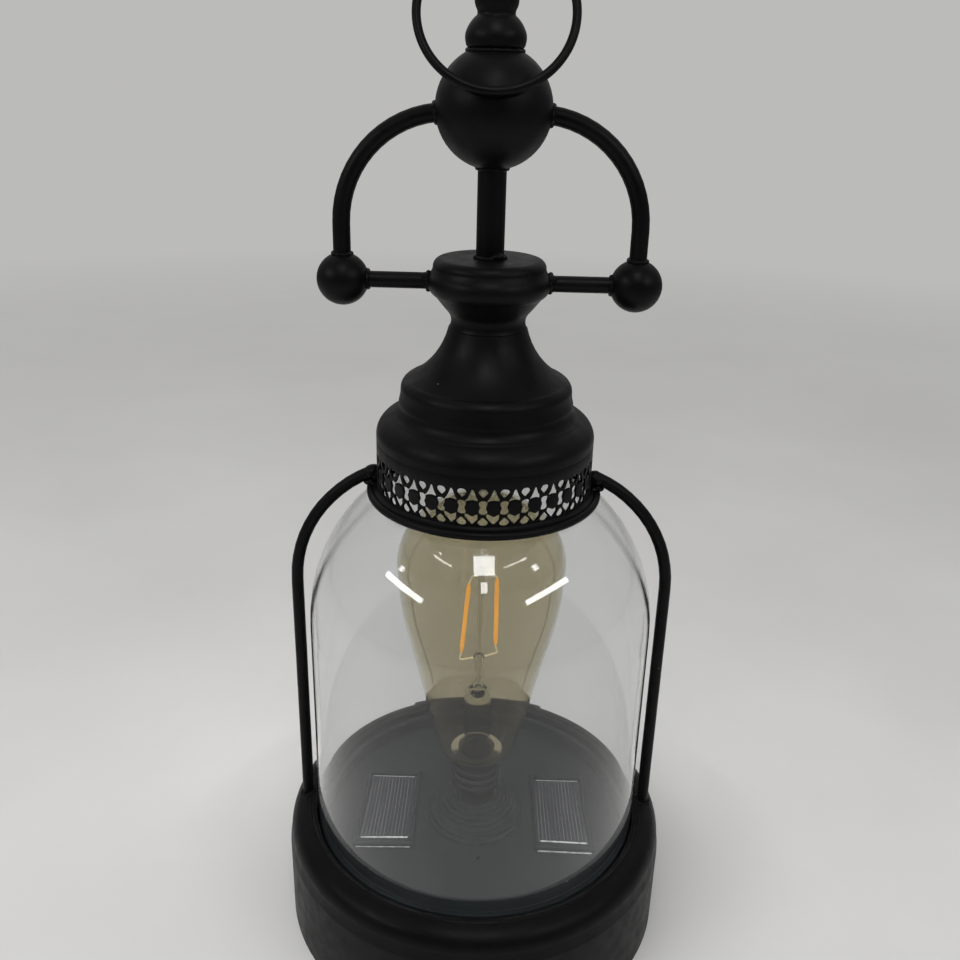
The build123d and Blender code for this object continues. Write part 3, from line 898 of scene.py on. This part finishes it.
def make_finial():
    """The turned finial with its pierced eye, and the bead round its foot."""
    points = outline(
        (0, 338.5),
        (8.7, 338.5),
        (8.7, 340.0),
        ((9.2, 340.5), (9.5, 341.4)),
        ((9.75, 343.0), (9.2, 345.4)),
        ((8.2, 347.2), (6.1, 349.4)),
        ((6.0, 350.2), (6.3, 351.2)),
        ((6.95, 354.4), (5.6, 357.4)),
        ((3.9, 359.2), (3.3, 362.4)),
        (3.3, 367.5),
        (0, 367.5),
    )
    knob = lathe(points, 96, closed=False)
    half_width = math.sqrt(eye_radius**2 - eye_hole**2)
    rim = 0.5
    eye_points = [(eye_hole, -half_width + rim)]
    eye_points += arc(
        (eye_hole + rim, -half_width + 0.12), (eye_radius, 0.0), (eye_hole + rim, half_width - 0.12)
    )
    eye_points += [(eye_hole, half_width - rim)]
    vertices, faces = lathe(eye_points, 72)
    place = Matrix.Translation((0, 0, eye_height)) @ Matrix.Rotation(math.pi / 2, 4, "Y")
    eye = (moved(vertices, place), faces)
    weld = weld_bead((0, 0, 339.3), (0, 0, 1), 8.8, 0.75, 60, lumps=15)
    remade("finial", joined(knob, eye, weld), "black_metal", sharp=45)


def make_hanging_ring():
    """A wire ring with a small butt weld, leaning forwards on the ball."""
    circle = ring_path((0, 0, 0), (0, 1, 0), hang_radius, 160)
    wire = tube(circle, hang_wire, closed=True, sides=28)
    seam_turn = 0.5
    seam_place = (hang_radius * math.sin(seam_turn), 0, hang_radius * math.cos(seam_turn))
    vertices, faces = joined(wire, lump(seam_place, (1.5, 1.35, 1.35), 70))
    place = Matrix.Translation((0, 0, eye_height))
    place = place @ Matrix.Rotation(-hang_lean, 4, "X") @ Matrix.Translation((0, 0, -hang_radius))
    remade("hanging_ring", (moved(vertices, place), faces), "black_metal", body="hanging_ring")


make_finial()
make_hanging_ring()

# ---- glass dome and lamp ------------------------------------------------------------


def make_dome():
    inner = dome_radius - dome_wall
    half_outer = math.sqrt(0.5) * dome_radius
    half_inner = math.sqrt(0.5) * inner
    points = outline(
        (inner + 0.5, dome_bottom),
        (dome_radius - 0.5, dome_bottom),
        ((dome_radius - 0.15, dome_bottom + 0.15), (dome_radius, dome_bottom + 0.5)),
        (dome_radius, 90.0),
        (dome_radius, dome_spring),
        ((half_outer, dome_spring + half_outer), (0.0, dome_top)),
    )
    points[-1] = (0.0, dome_top)
    back = outline(
        (0.0, dome_spring + inner),
        ((half_inner, dome_spring + half_inner), (inner, dome_spring)),
        (inner, 90.0),
        (inner, dome_bottom + 0.5),
        ((inner + 0.15, dome_bottom + 0.15), (inner + 0.5, dome_bottom)),
    )
    dome = remade("glass_dome", lathe(points + back[:-1], 200), "clear_glass", sharp=60)
    dome.visible_shadow = False


def bulb_side(inset):
    """The bulb's wall from its foot to its crown: inset is how far inside the outer face."""
    foot = [(11.0 - inset, holder_top + 0.2 + inset), (13.2 - inset, holder_top + 1.0 + inset)]
    side = [(14.7, 74.2), (17.6, 82.2), (21.2, 96.2), (25.2, 114.2), (30.6, 138.2)]
    side = [(r - inset, z) for r, z in side]
    side.append((bulb_radius - inset, bulb_widest))
    points = foot + side
    dense = [points[0]]
    # a smooth curve through the points, which ends upright at the widest one
    for k in range(len(points) - 1):
        before = Vector(points[max(k - 1, 0)])
        a, b = Vector(points[k]), Vector(points[k + 1])
        after = Vector(points[k + 2]) if k + 2 < len(points) else Vector((b.x, b.y + 12))
        for j in range(1, 9):
            t = j / 8
            dense.append(tuple(0.5 * (
                2 * a + (b - before) * t + (2 * before - 5 * a + 4 * b - after) * t**2
                + (3 * a - before - 3 * b + after) * t**3
            )))
    # the crown: a tight arc at the shoulder, then a flatter one over the top
    tight_centre = 0.25 * bulb_radius
    tight = bulb_radius - tight_centre
    excess = bulb_top - bulb_widest - tight
    drop = (tight_centre**2 - excess**2) / (2 * excess)
    flat = bulb_top - bulb_widest + drop
    join = math.atan2(drop, tight_centre)
    steps = 48
    for k in range(1, steps + 1):
        turn = math.pi / 2 * k / steps
        if turn <= join:
            r = tight - inset
            dense.append((tight_centre + r * math.cos(turn), bulb_widest + r * math.sin(turn)))
        else:
            r = flat - inset
            dense.append((r * math.cos(turn), bulb_widest - drop + r * math.sin(turn)))
    dense[-1] = (0.0, dense[-1][1])
    return dense


def make_bulb():
    points = bulb_side(0.0) + bulb_side(bulb_wall)[::-1]
    bulb = remade("bulb_glass", lathe(points, 160), "amber_glass", sharp=60)
    bulb.visible_shadow = False


def make_glass_mount():
    """Glass stem inside the bulb: a flared foot, a hollow tube, its shoulder and a long rod."""
    wall = 0.35
    outside = outline(
        (10.6, holder_top + 0.9),
        ((7.0, 73.9), (5.6, 80.0)),
        (5.59, 80.5),
        (5.51, 96.1),
        (5.5, 96.6),
        ((4.7, 99.7), (2.6, 101.2)),
        ((2.3, 101.6), (2.25, 102.4)),
        (2.25, 102.9),
        (2.25, 115.5),
        (2.25, 116.0),
        ((1.8, 116.6), (1.45, 117.4)),
        (1.45, 117.9),
        (1.45, 157.9),
        (1.45, 158.4),
        ((2.0, 159.9), (0.0, 161.4)),
    )
    outside[-1] = (0.0, 161.4)
    inside = outline(
        (0.0, 157.0),
        (0.8, 156.0),
        (0.8, 155.5),
        (0.8, 118.1),
        (0.8, 117.6),
        (1.4, 115.6),
        (1.4, 115.1),
        (1.4, 102.9),
        (1.4, 101.6),
        ((3.6, 99.3), (5.5 - wall, 96.6)),
        (5.51 - wall, 96.1),
        (5.59 - wall, 80.5),
        (5.6 - wall, 80.0),
        ((6.7, 74.1), (10.4, holder_top + 1.2)),
    )
    mount = remade("glass_mount", lathe(outside + inside, 96), "lamp_glass", sharp=50)
    mount.visible_shadow = False


def make_filaments():
    """Two coated sticks that lean towards each other, with tapered and rounded ends."""
    radius = 0.9
    steps = 24
    for side in ("left", "right"):
        low, high = box_mm(f"filament_{side}")
        left, right = low.x + radius, high.x - radius
        foot_x, top_x = (left, right) if side == "left" else (right, left)
        bottom = Vector((foot_x, 0, low.z + 0.3))
        top = Vector((top_x, 0, high.z - 0.3))
        path = [bottom.lerp(top, k / steps) for k in range(steps + 1)]
        sizes = [radius * min(1, 0.55 + 0.45 * min(k, steps - k) / 2) for k in range(steps + 1)]
        remade(f"filament_{side}", tube(path, sizes, sides=20, dome=0.3), "filament")


def make_holder():
    """The lamp holder: a plain foot, three rounded ribs and a flared rim."""
    points = outline((8.8, holder_bottom), (8.8, 54.5))
    for k in range(3):
        low = 54.7 + 3.7 * k
        points += outline((9.2, low + 0.3), ((10.3, low + 1.85), (9.2, low + 3.4)))
    points += outline(
        (9.2, 66.0),
        ((9.9, 66.3), (10.35, 67.0)),
        (10.6, holder_top - 0.4),
        ((10.5, holder_top - 0.1), (10.2, holder_top)),
        (6.2, holder_top),
        (6.2, holder_bottom),
    )
    remade("lamp_holder", lathe(points, 120), "holder_plastic", bevel=0.12)


def make_pedestal():
    steps = 6
    bore = 5.6
    first_step = 1.2
    run = (pedestal_radius - 10.6) / steps
    rise = (holder_bottom - deck_top - first_step) / steps
    points = [(bore, deck_top), (pedestal_radius, deck_top)]
    for k in range(steps + 1):
        tread = deck_top + first_step + k * rise
        corner = pedestal_radius - k * run
        points.append((corner, tread))
        if k < steps:
            points.append((corner - run + 0.25, tread + 0.05))
    points.append((bore, holder_bottom))
    remade("lamp_pedestal", lathe(points, 120), "deck_plastic", bevel=0.3)


make_dome()
make_bulb()
make_glass_mount()
make_filaments()
make_holder()
make_pedestal()

# ---- solar cells --------------------------------------------------------------------


def slab(low, high):
    """A box between two opposite corners."""
    (ax, ay, az), (bx, by, bz) = low, high
    vertices = [(x, y, z) for z in (az, bz) for y in (ay, by) for x in (ax, bx)]
    faces = [[0, 2, 3, 1], [4, 5, 7, 6], [0, 1, 5, 4], [1, 3, 7, 5], [3, 2, 6, 7], [2, 0, 4, 6]]
    return vertices, faces


def frame_shape(low, high, hole_low, hole_high, top):
    """An oblong frame: four mitred sides round a hole, with a sloping outer edge."""
    slope = 0.6

    def corners(a, b):
        return [(a.x, a.y), (b.x, a.y), (b.x, b.y), (a.x, b.y)]

    inset = Vector((slope, slope, 0))
    outer = corners(low, high)
    crown = corners(low + inset, high - inset)
    inner = corners(hole_low, hole_high)
    levels = [(outer, low.z), (outer, top - slope), (crown, top), (inner, top), (inner, low.z)]
    vertices = [(x, y, z) for level, z in levels for x, y in level]
    faces = []
    for level in range(len(levels)):
        after = (level + 1) % len(levels)
        for k in range(4):
            n = (k + 1) % 4
            faces.append([4 * level + k, 4 * level + n, 4 * after + n, 4 * after + k])
    return vertices, faces


def make_cells():
    """The solar cells in their frames, with a printed bar at both ends, and along each frame's front
    foot a silver strip that is a painted highlight of the frame's glossy lower edge.
    """
    gap = Vector((0.15, 0.15, 0))
    # width of the painted highlight along each frame's front foot: wider on the right, where the
    # highlight is brighter
    foot_highlight_widths = {"left": 0.12, "right": 0.5}
    for side in ("left", "right"):
        cell_low, cell_high = box_mm(f"solar_cell_{side}")
        low, high = box_mm(f"cell_frame_{side}")
        surround = frame_shape(low, high, cell_low - gap, cell_high + gap, high.z)
        remade(f"cell_frame_{side}", surround, "deck_plastic", bevel=0.25)
        remade(f"solar_cell_{side}", slab(cell_low, cell_high), "solar_cell", bevel=0.15)
        bars = []
        left, right = cell_low.x + 0.7, cell_high.x - 0.7
        bottom, top = cell_high.z - 0.02, cell_high.z + 0.09
        for y, width in ((cell_low.y + 0.9, 0.8), (cell_high.y - 0.7, 0.2)):
            bars.append(slab((left, y - width / 2, bottom), (right, y + width / 2, top)))
        # painted highlight: a silver strip along the frame's front foot, standing in for light caught on
        # its lower edge
        front = low.y - foot_highlight_widths[side]
        highlight_low = (low.x + 1.2, front, low.z - 0.05)
        highlight_high = (high.x - 1.2, low.y + 0.1, low.z + 0.3)
        bars.append(slab(highlight_low, highlight_high))
        mesh = make_mesh(f"cell_bars_and_highlight_{side}", *joined(*bars))
        piece(f"cell_bars_and_highlight_{side}", mesh, "silver_print_and_highlight", bevel=0.04)


make_cells()

# ---- carried-over CAD nodes: materials ----------------------------------------------

slot_of = {row["node"]: row["material_slot"] for row in frame["record"]["subparts"]}
for name, thing in frame["nodes"].items():
    thing.data.materials.clear()
    thing.data.materials.append(looks[slot_of[name]])

# ---- floor, light and camera --------------------------------------------------------


def make_floor():
    """A pale table top that fades into the even backdrop at its far edge."""
    look = Look("floor", (0.69, 0.685, 0.675), 0.6)
    look.feed(look.mottle(180, 5, (0.66, 0.655, 0.645), (0.72, 0.715, 0.705)), "Base Color")
    look.bump(look.noise(3, 4), 0.05, 0.4)
    away = look.tree.nodes.new("ShaderNodeVectorMath")
    away.operation = "LENGTH"
    look.link(look.place, away.inputs[0])
    fade_start, fade_end, size = 0.45, 1.6, 1.7
    look.feed(look.ramp(away.outputs["Value"], fade_start, fade_end, 1, 0), "Alpha")
    rim = ring_path((0, 0, 0), (0, 0, 1), size, 96)
    mesh = bpy.data.meshes.new("floor")
    mesh.from_pydata(rim, [], [list(range(len(rim)))])
    mesh.materials.append(look.material)
    floor = bpy.data.objects.new("floor", mesh)
    bpy.context.scene.collection.objects.link(floor)


def make_light(name, place, target, size, power, glossy=True):
    """An area light. Where glossy is False it lights but shows in no reflection."""
    data = bpy.data.lights.new(name, "AREA")
    data.shape = "RECTANGLE"
    data.size, data.size_y = size
    data.energy = power
    light = bpy.data.objects.new(name, data)
    bpy.context.scene.collection.objects.link(light)
    light.visible_glossy = glossy
    light.visible_transmission = glossy
    light.location = place
    light.rotation_euler = (Vector(target) - Vector(place)).to_track_quat("-Z", "Y").to_euler()


def make_world():
    """A room that is bright overhead and behind, and dark on the viewer's side.

    What is seen directly or through glass is an even pale backdrop.
    """
    side_glow = 0.17
    backdrop = 0.5
    world = bpy.data.worlds.new("room")
    bpy.context.scene.world = world
    world.use_nodes = True
    tree = world.node_tree
    link = tree.links.new

    def node(kind, **settings):
        made = tree.nodes.new(f"ShaderNode{kind}")
        for setting, value in settings.items():
            setattr(made, setting, value)
        return made

    # brightness from the height and the back of the room
    place = node("TexCoord").outputs["Generated"]
    along = node("VectorMath", operation="DOT_PRODUCT")
    along.inputs[1].default_value = (0, 0.6, 0.8)
    link(place, along.inputs[0])
    shade = node("MapRange", interpolation_type="SMOOTHSTEP")
    for socket, number in zip(RANGE_SOCKETS, (0.2, 1.0, 0.03, 0.5)):
        shade.inputs[socket].default_value = number
    link(along.outputs["Value"], shade.inputs["Value"])
    # a glow at both sides
    split = node("SeparateXYZ")
    link(place, split.inputs["Vector"])
    sides = node("Math", operation="MULTIPLY")
    link(split.outputs["X"], sides.inputs[0])
    link(split.outputs["X"], sides.inputs[1])
    total = node("Math", operation="MULTIPLY_ADD")
    link(sides.outputs["Value"], total.inputs[0])
    total.inputs[1].default_value = side_glow
    link(shade.outputs["Result"], total.inputs[2])
    # the backdrop, where it is seen
    path = node("LightPath")
    seen = node("Math", operation="MAXIMUM")
    link(path.outputs["Is Camera Ray"], seen.inputs[0])
    link(path.outputs["Is Transmission Ray"], seen.inputs[1])
    chosen = node("Mix")
    link(seen.outputs["Value"], chosen.inputs["Factor"])
    link(total.outputs["Value"], chosen.inputs[2])
    chosen.inputs[3].default_value = backdrop
    background = tree.nodes["Background"]
    link(chosen.outputs[0], background.inputs["Strength"])
    background.inputs["Color"].default_value = (1, 0.995, 0.985, 1)


def make_camera():
    """A camera in front of the light, at the photograph's height, slope and slight roll."""
    place = (0, -0.3435, 0.3367)
    yaw, pitch, roll = math.radians(-0.2368), math.radians(22.7724), math.radians(1.4855)
    level = math.cos(pitch)
    forward = Vector((math.sin(yaw) * level, math.cos(yaw) * level, -math.sin(pitch)))
    right = Vector((math.cos(yaw), -math.sin(yaw), 0))
    up = right.cross(forward)
    across = right * math.cos(roll) + up * math.sin(roll)
    upright = up * math.cos(roll) - right * math.sin(roll)
    data = bpy.data.cameras.new("camera")
    data.sensor_width = 36
    data.lens = 37.586
    data.clip_start = 0.01
    camera = bpy.data.objects.new("camera", data)
    bpy.context.scene.collection.objects.link(camera)
    turn = Matrix((across, upright, -forward)).transposed().to_4x4()
    camera.matrix_world = Matrix.Translation(place) @ turn
    bpy.context.scene.camera = camera


make_floor()
make_world()
# one broad light for the shadows, and small ones for the highlights on the glass
make_light("soft", (-0.5, -0.7, 1.7), (0, 0, 0.1), (1.6, 1.6), 16, glossy=False)
middle_of_dome = (0, 0, 0.17)
for name, place, size, power in (
    ("panel", (0.04, -0.73, 1.36), (0.32, 0.32), 3.2),
    ("panel_low", (0.05, -1.0, 1.14), (0.1, 0.17), 0.5),
    ("strip_left", (-0.962, -0.54, 0.768), (0.7, 0.075), 2.4),
    ("strip_right", (0.845, -0.63, 0.833), (0.74, 0.075), 2.4),
    ("spot_left", (-1.0, -0.34, 0.924), (0.07, 0.07), 0.18),
    ("spot_right", (0.715, -0.5, 1.13), (0.08, 0.08), 0.22),
):
    make_light(name, place, middle_of_dome, size, power)
make_camera()
bpy.context.scene.view_settings.view_transform = "Standard"
